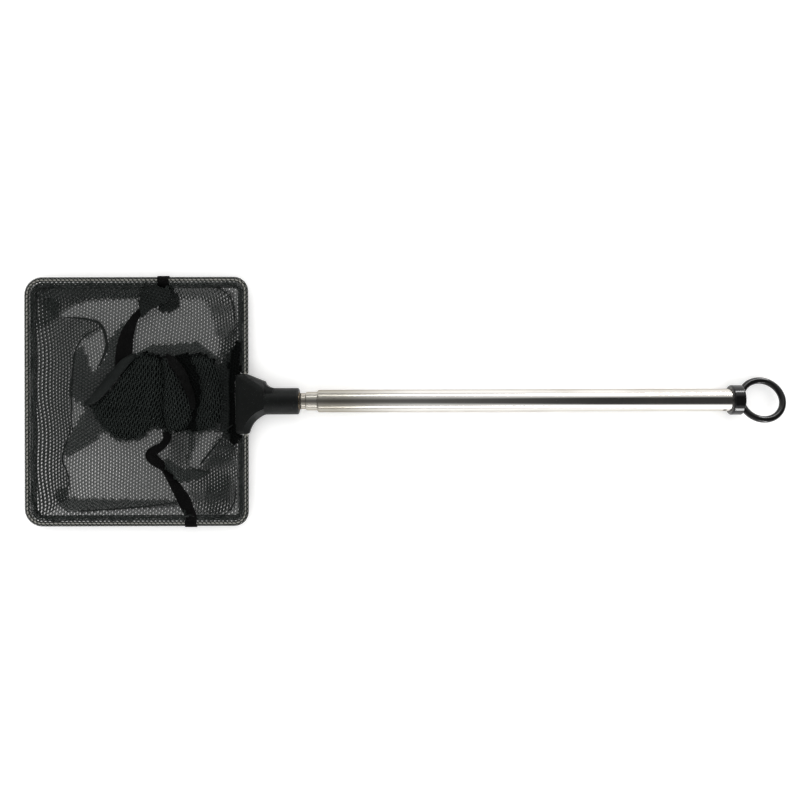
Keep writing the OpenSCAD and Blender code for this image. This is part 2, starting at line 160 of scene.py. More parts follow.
def steel(name, colour, film, gloss, lines, film_size, pit_share):
    """Drawn metal: lines along the piece, a dull warm film in clouds, and a few dark pits, with its
    edges darkened by the edge tint as painted shade. The gloss is the roughness when clean and
    under the film; the lines are their density and depth."""
    material, tree, shader = material_of(
        name, {"Metallic": 1.0, "Base Color": colour, "Specular Tint": edge_shade_tint})
    place = add(tree, "TexCoord").outputs["Object"]
    drawn = add(tree, "Group", {"Line density": lines[0], "Film size": film_size, "Vector": place},
                node_tree=drawn_lines)
    pits = add(tree, "Group", {"Density": pit_density, "Share": pit_share, "Vector": place},
               node_tree=specks)
    film_mask = drawn.outputs["Film"]
    worn = add(tree, "Math", {0: film_mask, 1: film_strength}, operation="MULTIPLY")
    tint = add(tree, "Mix", {"A": colour, "B": film, "Factor": worn}, data_type="RGBA")
    pitted = add(tree, "Mix", {"A": tint, "B": pit_colour, "Factor": pits}, data_type="RGBA")
    rough = add(tree, "MapRange", {"To Min": gloss[0], "To Max": gloss[1], "Value": film_mask})
    bump = add(tree, "Bump", {"Strength": 0.35, "Distance": lines[1], "Height": drawn.outputs["Height"]})
    feed(shader, {"Base Color": pitted, "Roughness": rough, "Normal": bump})
    return material


def dress(name, material):
    """Puts a material on a piece that the frame already holds."""
    mesh = node[name].data
    mesh.materials.clear()
    mesh.materials.append(material)


def dulled_and_shaded(material):
    """Darker and rougher beside the mouth: from where the tube is clean to its mouth the colour goes
    down to a share of itself, a painted shade for the dimmer reflections there, and the roughness
    rises to that of a film that wet hands leave."""
    tree = material.node_tree
    axes = add(tree, "SeparateXYZ", {"Vector": add(tree, "TexCoord").outputs["Object"]})
    dull = add(tree, "MapRange", {"From Min": dull_from_x, "From Max": dull_to_x,
                                  "Value": axes.outputs["X"]}, interpolation_type="SMOOTHSTEP")
    mix_into(shader_of(material), "Base Color", dull, mouth_painted_shade, blend="MULTIPLY")
    mix_into(shader_of(material), "Roughness", dull, dull_roughness, kind="FLOAT")
    return material


def nicked(material):
    """A dark nick: where the offset from its place, over its size along each axis, is shorter
    than one, the colour goes dark."""
    tree = material.node_tree
    here = add(tree, "TexCoord").outputs["Object"]
    offset = add(tree, "VectorMath", {0: here, 1: nick_place}, operation="SUBTRACT")
    scaled = add(tree, "VectorMath", {0: offset, 1: nick_size}, operation="DIVIDE")
    length = add(tree, "VectorMath", {0: scaled}, operation="LENGTH")
    core = add(tree, "MapRange", {"From Min": 1.0, "From Max": 0.6, "Value": length})
    mix_into(shader_of(material), "Base Color", core, nick_colour)
    return material


drawn_lines = drawn_lines_group()
specks = specks_group()
tube_lines = (4200.0, 0.00002)
tube_steel = steel("polished tube", steel_colour, film_colour, gloss=(0.09, 0.20), lines=tube_lines,
                   film_size=90.0, pit_share=0.02)
dress("outer_tube", nicked(dulled_and_shaded(tube_steel)))

# Middle and inner tubes. The same stainless steel, darker than the clean outer tube and a little
# brighter than its darkened mouth, at the two mouths that show beside the net's neck.
dress("middle_tube", steel("middle tube steel", (0.50, 0.48, 0.43, 1.0), film_colour, gloss=(0.16, 0.3),
                           lines=tube_lines, film_size=140.0, pit_share=0.03))
dress("inner_tube", steel("inner tube steel", (0.46, 0.43, 0.38, 1.0), film_colour, gloss=(0.18, 0.34),
                          lines=tube_lines, film_size=160.0, pit_share=0.04))

# Friction sleeves. Split sleeves rolled from bronze strip that sit on the tails of the two
# sliding tubes and rub in the next tube. They show only when the handle is taken apart.
bronze = steel("rolled bronze", (0.58, 0.38, 0.19, 1.0), (0.30, 0.18, 0.09, 1.0), gloss=(0.28, 0.42),
               lines=(3000.0, 0.00003), film_size=300.0, pit_share=0.05)
dress("inner_friction_sleeve", bronze)
dress("middle_friction_sleeve", bronze)

# End cap. One moulding in gloss black plastic: the collar over the tube's end, its barbed plug
# and the ring that hangs the net on a hook.
dust_and_glint_density = 1500.0


def moulded(name, colour, dust_and_glint_colour, gloss, grain, wear_size, dust_and_glint_share, specular=0.4):
    """Moulded plastic or rubber: fine grain as a bump, slow changes of gloss, and light specks in
    the colour: dust, and on the matt plastic also painted glints of its grain. The gloss is the
    roughness when new and worn; the grain is its density and depth."""
    material, tree, shader = material_of(name, {"Base Color": colour, "Specular IOR Level": specular})
    place = add(tree, "TexCoord").outputs["Object"]
    bumps = add(tree, "TexNoise", {"Scale": grain[0], "Detail": 3.0, "Roughness": 0.6, "Vector": place})
    clouds = add(tree, "TexNoise", {"Scale": wear_size, "Detail": 3.0, "Vector": place})
    speck = add(tree, "Group", {"Density": dust_and_glint_density, "Share": dust_and_glint_share, "Vector": place},
                node_tree=specks)
    rough = add(tree, "MapRange", {"From Min": 0.35, "From Max": 0.65, "To Min": gloss[0],
                                   "To Max": gloss[1], "Value": clouds})
    dust_and_glints = add(tree, "Mix", {"A": colour, "B": dust_and_glint_colour, "Factor": speck}, data_type="RGBA")
    bump = add(tree, "Bump", {"Strength": 0.5, "Distance": grain[1], "Height": bumps})
    feed(shader, {"Base Color": dust_and_glints, "Roughness": rough, "Normal": bump})
    return material


dress("end_cap", moulded("gloss black plastic", (0.005, 0.005, 0.005, 1.0), (0.02, 0.02, 0.02, 1.0),
                         gloss=(0.06, 0.10), grain=(900.0, 0.000015), wear_size=60.0, dust_and_glint_share=0.04))

# Neck. A brass insert with a knurled body sits in the barrel's mouth. The inner tube's steel
# plug screws into it by a stud, with a rubber washer between the two.
dress("thread_insert", steel("turned brass", (0.22, 0.175, 0.125, 1.0), (0.14, 0.10, 0.06, 1.0),
                             gloss=(0.24, 0.45), lines=(5000.0, 0.00002), film_size=700.0, pit_share=0.12))
dress("stud_plug", steel("turned steel", (0.55, 0.54, 0.50, 1.0), (0.3, 0.28, 0.25, 1.0),
                         gloss=(0.25, 0.4), lines=(5000.0, 0.00002), film_size=500.0, pit_share=0.05))
dress("neck_washer", moulded("black rubber", (0.015, 0.014, 0.013, 1.0), (0.06, 0.06, 0.055, 1.0),
                             gloss=(0.55, 0.75), grain=(4000.0, 0.00004), wear_size=300.0, dust_and_glint_share=0.1))

# Yoke and socket barrel. Two mouldings in matt black plastic with a spark-eroded grain. The
# plate of the yoke grips the near side of the wire, and the barrel plugs into its end.
# Its many light specks are painted glints off the spark-eroded grain as well as dust.
matt_plastic = moulded("matt black plastic", (0.005, 0.0058, 0.0055, 1.0), (0.07, 0.075, 0.07, 1.0),
                       gloss=(0.36, 0.5), grain=(2200.0, 0.00012), wear_size=90.0, dust_and_glint_share=0.30,
                       specular=0.16)
dress("yoke", matt_plastic)
dress("socket_barrel", matt_plastic)

# Hoop wire. Bright drawn steel wire, bent to a rounded rectangle with both ends in the yoke.
# It shines through the meshes of the hem that is folded round it.
wire_steel = steel("bright wire", (0.60, 0.59, 0.54, 1.0), (0.44, 0.42, 0.38, 1.0), gloss=(0.36, 0.5),
                   lines=(3000.0, 0.00001), film_size=200.0, pit_share=0.01)
feed(shader_of(wire_steel), {"Metallic": 0.5})
dress("hoop_wire", wire_steel)

# The bag as it lies. It is one bag of black nylon netting, knitted with six-sided meshes 1.8 mm
# wide and 2.2 mm long. It lies folded flat inside the hoop in plies: one right across the hoop,
# a turned-in band round the rim, and the closed end heaped in the middle.
pixel = 0.0006
pixel_level = 0.009
middle_pixel = 400.0
wire_near_x = -0.09555
wire_far_x = -0.22655
wire_half_w = 0.0731
wire_z = 0.009
hoop_middle_x = (wire_near_x + wire_far_x) / 2
stitch_inset = 0.0040
stitch_z = 0.0058
rim_corner_r = 0.007
under_hem = 0.0018
table_ply = 0.0009
rim_fall = 0.009
column_step = 0.000600
row_step = 0.00108
yarn_t = 0.00030
lattice_reach = 48
bow_wave = 60.0
drift = 0.0006
drift_waves = ((45.0, 130.0), (120.0, -50.0))
slack_h = 0.00022
slope_step = 0.0001
crease_columns = 7
crease_power = 0.4
crease_least = 0.15
crease_t = 0.00045


def from_pixels(places, level):
    """Places in the plane at a level that the camera sees at pixels of the picture: the offset
    from the picture's middle grows with the distance under the camera."""
    depth, pixel_depth = camera_place[2] - level, camera_place[2] - pixel_level
    offset = (np.array(places, float) - middle_pixel) * pixel * depth / pixel_depth
    return np.array(camera_place[:2]) + offset * (1.0, -1.0)


def smooth_curve(points, closed=False, steps=6):
    """A curve through the points: on each stretch a cubic whose slope at a point is half the
    way from the point before to the point after."""
    points = np.array(points, float)
    if closed:
        before, beyond = points[-1:], points[:2]
    else:
        before, beyond = points[:1] * 2 - points[1:2], points[-1:] * 2 - points[-2:-1]
    padded = np.concatenate([before, points, beyond])
    count = len(padded) - 3
    p0, p1, p2, p3 = (padded[k:k + count, None] for k in range(4))
    t = np.linspace(0.0, 1.0, steps, endpoint=False)[None, :, None]
    square, cube = 2 * p0 - 5 * p1 + 4 * p2 - p3, 3 * p1 - p0 - 3 * p2 + p3
    curve = 0.5 * (2 * p1 + (p2 - p0) * t + square * t ** 2 + cube * t ** 3)
    curve = curve.reshape(-1, points.shape[1])
    return curve if closed else np.concatenate([curve, points[-1:]])


def by_length(points):
    """Length along a line of points, from its start to each point."""
    return np.concatenate([[0.0], np.cumsum(np.linalg.norm(np.diff(points, axis=0), axis=1))])


def at_length(points, lengths):
    """Places on a line of points at the given lengths from its start."""
    along = by_length(points)
    return np.stack([np.interp(lengths, along, points[:, k]) for k in range(points.shape[1])], 1)


def forward(points):
    """The unit direction of a line at each of its points, from one neighbour to the other."""
    ahead = np.gradient(points, axis=0)
    return ahead / np.linalg.norm(ahead, axis=1)[:, None]


def rounded_hoop(inset, radius):
    """The hoop's rounded rectangle, an inset inside the wire's centre line, as a closed outline."""
    half = np.array([(wire_near_x - wire_far_x) / 2 - inset, wire_half_w - inset])
    angle = np.radians(np.arange(0, 360, 10).reshape(4, 9) + np.linspace(0, 10, 9))
    quarter = np.array([(1, 1), (-1, 1), (-1, -1), (1, -1)])[:, None]
    arcs = quarter * (half - radius) + radius * np.stack([np.cos(angle), np.sin(angle)], -1)
    return arcs.reshape(-1, 2) + (hoop_middle_x, 0.0)


def inside(outline, places):
    """True where a line to +X from the place crosses the closed outline an odd number of times."""
    a, b = outline, np.roll(outline, -1, 0)
    x, y = places[:, :1], places[:, 1:]
    spans = (a[:, 1] > y) != (b[:, 1] > y)
    rise = np.where(b[:, 1] == a[:, 1], 1.0, b[:, 1] - a[:, 1])
    crossing = a[:, 0] + (y - a[:, 1]) / rise * (b[:, 0] - a[:, 0])
    return (spans & (x < crossing)).sum(1) % 2 == 1


def away_from(line, places):
    """Distance from each place to the nearest stretch of a line of points."""
    a, run = line[:-1], np.diff(line, axis=0)
    offset = places[:, None] - a
    share = np.clip((offset * run).sum(2) / np.maximum((run ** 2).sum(1), 1e-12), 0.0, 1.0)
    return np.linalg.norm(offset - share[..., None] * run, axis=2).min(1)


def eased(share):
    """Goes from 0 to 1 with no slope at either end: three squares less two cubes."""
    share = np.clip(share, 0.0, 1.0)
    return share ** 2 * (3 - 2 * share)


def slack(places):
    """The netting's gentle waves, two to five centimetres long: a height, times the sum of one, a
    slanted sine, and the product of a sine across and a sine along. Inside the sines the places
    are in millimetres."""
    x, y = places[:, 0] * 1000, places[:, 1] * 1000
    crossed = np.sin(x * 0.31 + 1.7 * np.sin(y * 0.11)) * np.sin(y * 0.27 + 0.9)
    return slack_h * (crossed + np.sin(x * 0.12 - y * 0.17) + 1.0)


stitch_line = rounded_hoop(stitch_inset, rim_corner_r)


def within(outline):
    """The choice of the places inside an outline."""
    return lambda places: inside(outline, places)


def over_table(lift):
    """The height of a ply that hangs from the stitch line and lies on the table: it falls from
    the one to the other with an eased slope, and the lift holds it over the ply below."""
    def height(places):
        gone = away_from(np.concatenate([stitch_line, stitch_line[:1]]), places)
        gone = np.where(inside(stitch_line, places), gone, 0.0)
        fall = eased(gone / rim_fall)
        return stitch_z * (1 - fall) + (table_ply + slack(places)) * fall + lift
    return height


pleat_pitch = 0.0026
pleat_depth = 0.00036
least_pleats = 0.3


def folded_over(outline, low, high, reach, ridges=()):
    """The height of a ply whose edge is folded under: a quarter round from low at the outline to
    high at the reach inside it. Each ridge adds its height times the bell curve of the distance
    from its line over its width, and pleats beside it as a cosine of the distance."""
    closed_line = np.concatenate([outline, outline[:1]])

    def height(places):
        share = np.clip(away_from(closed_line, places) / reach, 0.0, 1.0)
        round_share = np.sqrt(1 - (1 - share) ** 2)
        swell = np.zeros(len(places))
        for line, extra, width in ridges:
            away = away_from(line, places)
            bell = np.exp(-(away / width) ** 2)
            pleats = pleat_depth * np.cos(2 * math.pi * away / pleat_pitch)
            swell += extra * bell + pleats * np.maximum(bell, least_pleats)
        return low + (high - low + swell) * round_share + slack(places)
    return height


def knit(place, cells, hole, thickness):
    """Netting as one closed surface. Mesh (c, r) has its centre at 3 c, 2 r + (c odd) in lattice
    steps, and its six corners two steps to each side, or one step aside and one up or down. The
    hole's corners are the same ones, drawn in by the hole share, narrowed, lengthened and slanted.
    The web between is as thick as the yarn at the corners and comes to an edge at the hole. A
    side that no other mesh runs along the other way gets a wall."""
    c, r = cells.T
    centre = np.stack([3 * c, 2 * r + c % 2], -1).reshape(-1, 1, 2)
    spokes = np.array([(2, 0), (1, 1), (-1, 1), (-2, 0), (-1, -1), (1, -1)])
    corners, ring = np.unique((centre + spokes).reshape(-1, 2), axis=0, return_inverse=True)
    ring = ring.reshape(-1, 6)
    middle, normal = place(corners)
    opening = np.stack([spokes[:, 0] * hole_wide + spokes[:, 1] * hole_slant, spokes[:, 1] * hole_tall], 1)
    hole_place, _ = place((centre + opening * np.reshape(hole, (-1, 1, 1))).reshape(-1, 2))
    count = len(corners)
    vertices = np.concatenate([middle + normal * thickness / 2, middle - normal * thickness / 2, hole_place])
    hole_ring = 2 * count + np.arange(ring.size).reshape(-1, 6)
    after, hole_after = np.roll(ring, -1, 1), np.roll(hole_ring, -1, 1)
    upper = np.stack([ring, after, hole_after, hole_ring], -1).reshape(-1, 4)
    lower = np.stack([after + count, ring + count, hole_ring, hole_after], -1).reshape(-1, 4)
    one_way = ring.ravel() * count + after.ravel()
    other_way = after.ravel() * count + ring.ravel()
    edge = ~np.isin(one_way, other_way)
    a, b = ring.ravel()[edge], after.ravel()[edge]
    wall = np.stack([a, a + count, b + count, b], -1)
    return vertices, np.concatenate([upper, lower, wall])


def grid(columns, rows):
    """Every pair of a column and a row."""
    c, r = np.meshgrid(columns, rows, indexing="ij")
    return np.stack([c.ravel(), r.ravel()], 1)


def ply(chosen, height, hole, turn=0.0, stretch=(1.0, 1.0), bow=0.0, thickness=yarn_t):
    """Netting over the places in the plane that are chosen. Lattice steps become lengths, are
    stretched across and down the columns, bowed aside by a sine along the columns, left to drift
    both ways by slanted sines, and turned; the height function lifts them, and its slopes give
    the normals. The hole share is a number or a function of the places."""
    reach = [int(lattice_reach / share) for share in stretch]
    cells = grid(*(np.arange(-k, k + 1) for k in reach))
    across = np.array([math.cos(turn), math.sin(turn)])
    along = np.array([-math.sin(turn), math.cos(turn)])

    def flat_place(steps):
        x, y = steps[:, :1] * column_step * stretch[0], steps[:, 1:] * row_step * stretch[1]
        wave, sway = (drift * np.sin(x * a + y * b) for a, b in drift_waves)
        bowed = bow * np.sin(y * bow_wave + 1.0) + wave
        return (x + bowed) * across + (y + sway) * along + (hoop_middle_x, 0.0)

    def place(steps):
        here = flat_place(steps)
        z = height(here)
        slope_x = (height(here + (slope_step, 0.0)) - z) / slope_step
        slope_y = (height(here + (0.0, slope_step)) - z) / slope_step
        normal = np.stack([-slope_x, -slope_y, np.ones_like(z)], 1)
        return np.concatenate([here, z[:, None]], 1), normal / np.linalg.norm(normal, axis=1)[:, None]

    centres = flat_place(np.stack([3 * cells[:, 0], 2 * cells[:, 1] + cells[:, 0] % 2], 1))
    picked = chosen(centres)
    share = hole(centres[picked]) if callable(hole) else hole
    return knit(place, cells[picked], share, thickness)


def crease(points, height, width):
    """A pressed fold: a flat band along a curve in the plane, at the height function's height. It
    is as wide as the sine of its way along the curve, flattened by a power and never a point."""
    line = smooth_curve(points)
    share = np.linspace(0.0, 1.0, len(line))
    ahead = forward(line)
    aside = np.stack([-ahead[:, 1], ahead[:, 0]], 1)
    half = width / 2 * np.maximum(np.sin(math.pi * share) ** crease_power, crease_least)
    off = np.linspace(-1.0, 1.0, crease_columns)
    places = line[:, None] + aside[:, None] * half[:, None, None] * off[None, :, None]
    z = height(places.reshape(-1, 2)).reshape(len(line), crease_columns)
    middle = np.concatenate([places, z[..., None]], 2)
    return thick_band(middle, np.broadcast_to([0.0, 0.0, 1.0], middle.shape), crease_t)


def thick_band(middle, normal, thickness):
    """A closed band from rows of places across it: each row, raised and lowered by half the
    thickness along the normal, with walls along all four edges."""
    rows, columns = middle.shape[:2]
    half = normal * thickness / 2
    vertices = np.concatenate([(middle + half).reshape(-1, 3), (middle - half).reshape(-1, 3)])
    count = rows * columns
    index = np.arange(count).reshape(rows, columns)
    top = np.stack([index[:-1, :-1], index[:-1, 1:], index[1:, 1:], index[1:, :-1]], -1).reshape(-1, 4)
    border = np.concatenate([index[0, :], index[1:, -1], index[-1, -2::-1], index[-2:0:-1, 0]])
    after = np.roll(border, -1)
    wall = np.stack([border, border + count, after + count, after], -1)
    return vertices, np.concatenate([top, top[:, ::-1] + count, wall])


def piece_from(name, vertices, faces, material):
    """A mesh object at the origin, made from whole arrays of places and quads."""
    mesh = bpy.data.meshes.new(name)
    mesh.vertices.add(len(vertices))
    mesh.vertices.foreach_set("co", np.asarray(vertices, np.float32).ravel())
    mesh.loops.add(faces.size)
    mesh.loops.foreach_set("vertex_index", faces.astype(np.int32).ravel())
    mesh.polygons.add(len(faces))
    mesh.polygons.foreach_set("loop_start", (np.arange(len(faces)) * faces.shape[1]).astype(np.int32))
    mesh.update(calc_edges=True)
    mesh.validate()
    mesh.polygons.foreach_set("use_smooth", np.full(len(mesh.polygons), True))
    mesh.materials.append(material)
    made = bpy.data.objects.new(name, mesh)
    bpy.context.scene.collection.objects.link(made)
    return made


def joined(parts):
    """Several pairs of vertices and faces as one pair."""
    shift = np.cumsum([0] + [len(vertices) for vertices, _ in parts[:-1]])
    return (np.concatenate([vertices for vertices, _ in parts]),
            np.concatenate([faces + offset for (_, faces), offset in zip(parts, shift)]))


def yarn_group():
    """Spun yarn: fine twisted fibres as a height, and slow fading as a mask."""
    group, given, result = new_group("yarn", ["Vector", "Fibre density", "Fade size"], ["Height", "Fade"])
    fibres = add(group, "TexNoise", {"Detail": 2.0, "Distortion": 1.5, "Vector": given["Vector"],
                                     "Scale": given["Fibre density"]})
    fade = add(group, "TexNoise", {"Detail": 3.0, "Vector": given["Vector"], "Scale": given["Fade size"]})
    feed(result, {"Height": fibres, "Fade": fade})
    return group


def fabric(name, colour, faded, roughness, specular, fibres=(6000.0, 0.00005), fade_size=120.0, sheen=0.0):
    """Black nylon: fibres as a bump, given by their density and depth, and slight fading in
    clouds."""
    material, tree, shader = material_of(
        name, {"Roughness": roughness, "Specular IOR Level": specular, "Sheen Weight": sheen,
               "Sheen Roughness": 0.4})
    place = add(tree, "TexCoord").outputs["Object"]
    spun = add(tree, "Group", {"Fibre density": fibres[0], "Fade size": fade_size, "Vector": place},
               node_tree=yarn)
    tint = add(tree, "Mix", {"A": colour, "B": faded, "Factor": spun.outputs["Fade"]}, data_type="RGBA")
    bump = add(tree, "Bump", {"Strength": 0.6, "Distance": fibres[1], "Height": spun.outputs["Height"]})
    feed(shader, {"Base Color": tint, "Normal": bump})
    return material


yarn = yarn_group()
netting = fabric("black netting", (0.0120, 0.0152, 0.0141, 1.0), (0.0300, 0.0350, 0.0326, 1.0),
                 roughness=0.55, specular=0.10)
feed(shader_of(netting), {"Alpha": 0.61})
# Darker than the netting's yarn: painted shade in the rolled and pressed folds, over the netting's real
# density.
tight_and_shaded = fabric("tight netting", (0.0058, 0.0070, 0.0066, 1.0), (0.0150, 0.0172, 0.0164, 1.0),
               roughness=0.6, specular=0.08)
# Near-black netting: painted shade deep in the heap and beside the yoke's plate.
shaded = fabric("netting in the heap", (0.0012, 0.0015, 0.0014, 1.0), (0.0032, 0.0038, 0.0036, 1.0),
                roughness=0.7, specular=0.03)
open_hole = 0.310
band_hole = 0.60
fan_hole = 0.74
crowded_hole = 0.44
heaped_hole = 0.20
closed_hole = 0.05
hole_wide = 0.74
hole_tall = 1.40
hole_slant = 0.45

# Far panel. The panel on the side away from the handle, with a band of it turned in round the
# rim. The seam that bounds it runs from the left rim, under the heap, to the right rim.
seam_pixels = [
    (164, 270), (164, 287), (157, 297), (143, 308), (131, 322), (125, 342), (124, 358), (135, 385),
    (160, 415), (166, 437), (150, 454), (162, 467), (176, 489), (187, 508), (190.5, 518), (191, 535)]
far_corner_pixels = [(10, 535), (10, 270)]
left_band_pixels = [
    (37, 289), (60, 286), (100, 285), (144, 285), (142, 297), (120, 299), (100, 300), (80, 303), (65, 311),
    (62, 317), (78, 318), (90, 319), (97, 321), (102, 327), (98, 330), (88, 336), (78, 341), (73.5, 352),
    (72, 365), (71, 395), (70.5, 412), (71.5, 428), (66, 440), (61, 452), (61.5, 460), (66, 470), (70, 480),
    (67, 493), (60, 503), (50, 511), (42, 513), (36, 506), (34, 480), (33.5, 400), (34, 320)]
top_band_pixels = [
    (37, 289), (60, 286), (100, 285), (144, 285), (142, 296), (120, 298), (100, 298), (80, 300), (62, 307),
    (58, 316), (48, 322), (38, 330)]
low_band_pixels = [
    (58, 499), (75, 497.5), (120, 498.5), (178, 500), (181, 504), (150, 506), (110, 508), (76, 510),
    (62, 507)]
far_corner_fold_pixels = [(44, 298), (55, 299), (61, 306), (58, 313), (50, 310)]
near_corner_fold_pixels = [(56, 490), (64, 487), (68, 493), (62, 500), (54, 497)]
patch_pixels = [
    (141, 289), (143, 287.5), (153, 287), (168, 287), (172, 289), (172, 297), (167, 302), (158, 305.5),
    (153, 308), (149, 312), (144, 315.5), (141.5, 315), (140, 310), (140, 298)]
curl_pixels = [
    (64, 316.5), (82, 317.5), (97, 321), (103.5, 328), (107, 341), (106, 349), (102, 359), (97, 368)]
inner_curl_pixels = [
    (99, 328), (87.5, 333), (79, 343), (75, 353), (73, 368), (71, 388), (72, 408), (71, 423)]
low_curl_pixels = [(72, 420), (69, 433), (64, 448), (62.5, 460), (66, 468), (69, 480), (66, 491)]
far_left_pull_pixels = [(34.5, 330), (35.5, 316), (38, 304), (43, 294), (51, 288), (66, 286)]
far_right_pull_pixels = [(34.5, 480), (35, 493), (38, 504), (44, 513), (53, 518.5), (68, 520)]
low_line_pixels = [(70, 510), (110, 508), (150, 505), (180, 501)]

base_outline = rounded_hoop(under_hem, rim_corner_r)
far_side = from_pixels(seam_pixels + far_corner_pixels, table_ply)


def outline_from(pixels, level):
    """A closed smooth outline through pixels of the picture at a level."""
    return smooth_curve(from_pixels(pixels, level), closed=True)


band_lift = 0.0008
fold_lift = 0.0014
patch_lift = 0.0056
curl_lift = 0.0016
pull_lift = 0.0026
curl_w = 0.0017
fine_w = 0.0008
pressed_t = 0.00008
least_open = 0.96
pulled_wider = 0.26
pulled_from_y = 0.005
pulled_over_y = 0.040
pulled_from_x = 0.155
pulled_over_x = 0.035


def far_holes(places):
    """The far panel's hole share: nearly the open one, and pulled wider toward the far right
    corner by eased slopes, each from where it starts and over its length."""
    toward_right = eased((-places[:, 1] - pulled_from_y) / pulled_over_y)
    toward_far = eased((-places[:, 0] - pulled_from_x) / pulled_over_x)
    return open_hole * (least_open + pulled_wider * toward_right * toward_far)


def in_far_half(places):
    """Inside the hem and on the far side of the seam."""
    return inside(base_outline, places) & inside(far_side, places)


def curl(pixels, lift, width=curl_w):
    """A pressed fold along pixels of the picture, lying over the table's ply."""
    return crease(from_pixels(pixels, table_ply + lift), over_table(lift), width)


def band(pixels, lift, hole, turn, thickness=yarn_t):
    """A ply inside an outline in pixels, lying with a lift over the table's, with its own hole
    share and turn: a stretch of the band that is turned in round the rim, or a fold."""
    outline = outline_from(pixels, table_ply + lift)
    return ply(within(outline), over_table(lift), hole, turn, thickness=thickness)


far_turn = 0.03
far_panel = piece_from("far_netting", *joined([
    ply(in_far_half, over_table(0.0), far_holes, turn=far_turn),
    band(left_band_pixels, band_lift, band_hole, far_turn + 0.004),
    band(top_band_pixels, fold_lift, crowded_hole, 0.12),
    band(low_band_pixels, band_lift, crowded_hole, 0.08),
    band(far_corner_fold_pixels, 2 * band_lift, open_hole, 0.5),
    band(near_corner_fold_pixels, 2 * band_lift, open_hole, -0.4)]), netting)
far_folds = [
    band(patch_pixels, patch_lift, closed_hole, 0.2, pressed_t),
    curl(curl_pixels, curl_lift),
    curl(inner_curl_pixels, curl_lift, 0.0009),
    curl(low_curl_pixels, curl_lift, fine_w),
    curl(low_line_pixels, curl_lift, fine_w),
    curl(far_left_pull_pixels, pull_lift, fine_w),
    curl(far_right_pull_pixels, pull_lift, fine_w)]

# Near panel. The panel on the handle's side, cut round the plate that grips the wire, with its
# own band turned in and a frayed seam allowance beside the left tape.
plate_far_x = -0.1019
plate_left_y = 0.0165
plate_right_y = -0.0197
right_band_pixels = [
    (172, 286), (205, 286), (225, 288), (235, 297), (238, 330), (238, 440), (238, 490), (233, 508),
    (222, 514), (197, 515), (195, 503), (189, 487), (204, 478), (204, 467), (214, 452), (220, 437),
    (230, 430), (225, 412), (226, 375), (222, 352), (216, 330), (211, 312), (204, 300), (190, 299),
    (172, 298)]
frayed_pixels = [
    (158, 288), (160, 286.5), (174, 287), (177, 289), (178.5, 298), (178, 307), (173, 310), (171, 314),
    (167, 310), (164, 313), (160, 309), (158, 304)]
right_fold_pixels = [
    (219.5, 366), (224, 358), (232, 349), (240.5, 344), (240.5, 371), (236.5, 374.5), (236, 400),
    (236.5, 433), (239.5, 437), (236, 441), (230, 441), (220, 430), (219.5, 405), (219.5, 385)]
plate_shade_pixels = [
    (229, 372), (230, 360), (235, 347), (240.5, 340), (241.5, 372), (240, 376), (237, 380), (237, 400),
    (237, 428), (240, 432), (242, 436), (240, 440), (236, 442), (231, 441), (229, 425), (230, 400)]
right_fade_pixels = [
    (219, 354), (222, 344), (228, 335), (235, 328), (240, 325), (240, 346), (232, 352), (225, 360),
    (219, 368)]
low_fold_pixels = [(209, 478), (220, 472), (229, 478), (230, 492), (226, 508), (212, 512), (205, 500)]
bar_side_pixels = [
    (215, 440), (223, 437), (235, 437), (236, 446), (233, 456), (226, 462), (216, 466), (207, 468),
    (202, 466), (208, 457)]
bar_pixels = [(223, 436.5), (212, 449), (204, 459), (199, 465)]
crumple_line_pixels = [(188, 466), (196, 469), (204, 470.5), (211, 471.5)]
heap_line_pixels = [(213, 431.5), (221, 430.5), (228, 427.5), (234, 424)]
near_left_pull_pixels = [(205, 286), (216, 287.5), (226, 292), (233, 301), (236, 314), (236.5, 335)]
near_right_pull_pixels = [(210, 518), (222, 515), (231, 508), (236, 497), (237, 480)]


def in_near_half(places):
    """Inside the hem on the near side of the seam, and clear of the yoke's plate."""
    x, y = places.T
    beside_plate = (x < plate_far_x) | (y > plate_left_y) | (y < plate_right_y)
    return inside(base_outline, places) & ~inside(far_side, places) & beside_plate


near_turn = -0.05
near_hole = 0.295
near_panel = piece_from("near_netting", *joined([
    ply(in_near_half, over_table(0.0), near_hole, turn=near_turn),
    band(right_band_pixels, band_lift, 0.66, 0.10),
    band(right_fade_pixels, fold_lift, 0.54, near_turn),
    band(low_fold_pixels, fold_lift, 0.64, near_turn),
    band(bar_side_pixels, 2 * fold_lift, band_hole, near_turn)]), netting)
near_folds = [
    band(frayed_pixels, fold_lift, heaped_hole, near_turn, pressed_t),
    band(right_fold_pixels, 2 * fold_lift, closed_hole, near_turn, pressed_t),
    curl(bar_pixels, curl_lift, 0.0012),
    curl(crumple_line_pixels, 2 * curl_lift, 0.0009),
    curl(heap_line_pixels, 3 * curl_lift, 0.0010),
    curl(near_left_pull_pixels, pull_lift, fine_w),
    curl(near_right_pull_pixels, pull_lift, fine_w)]

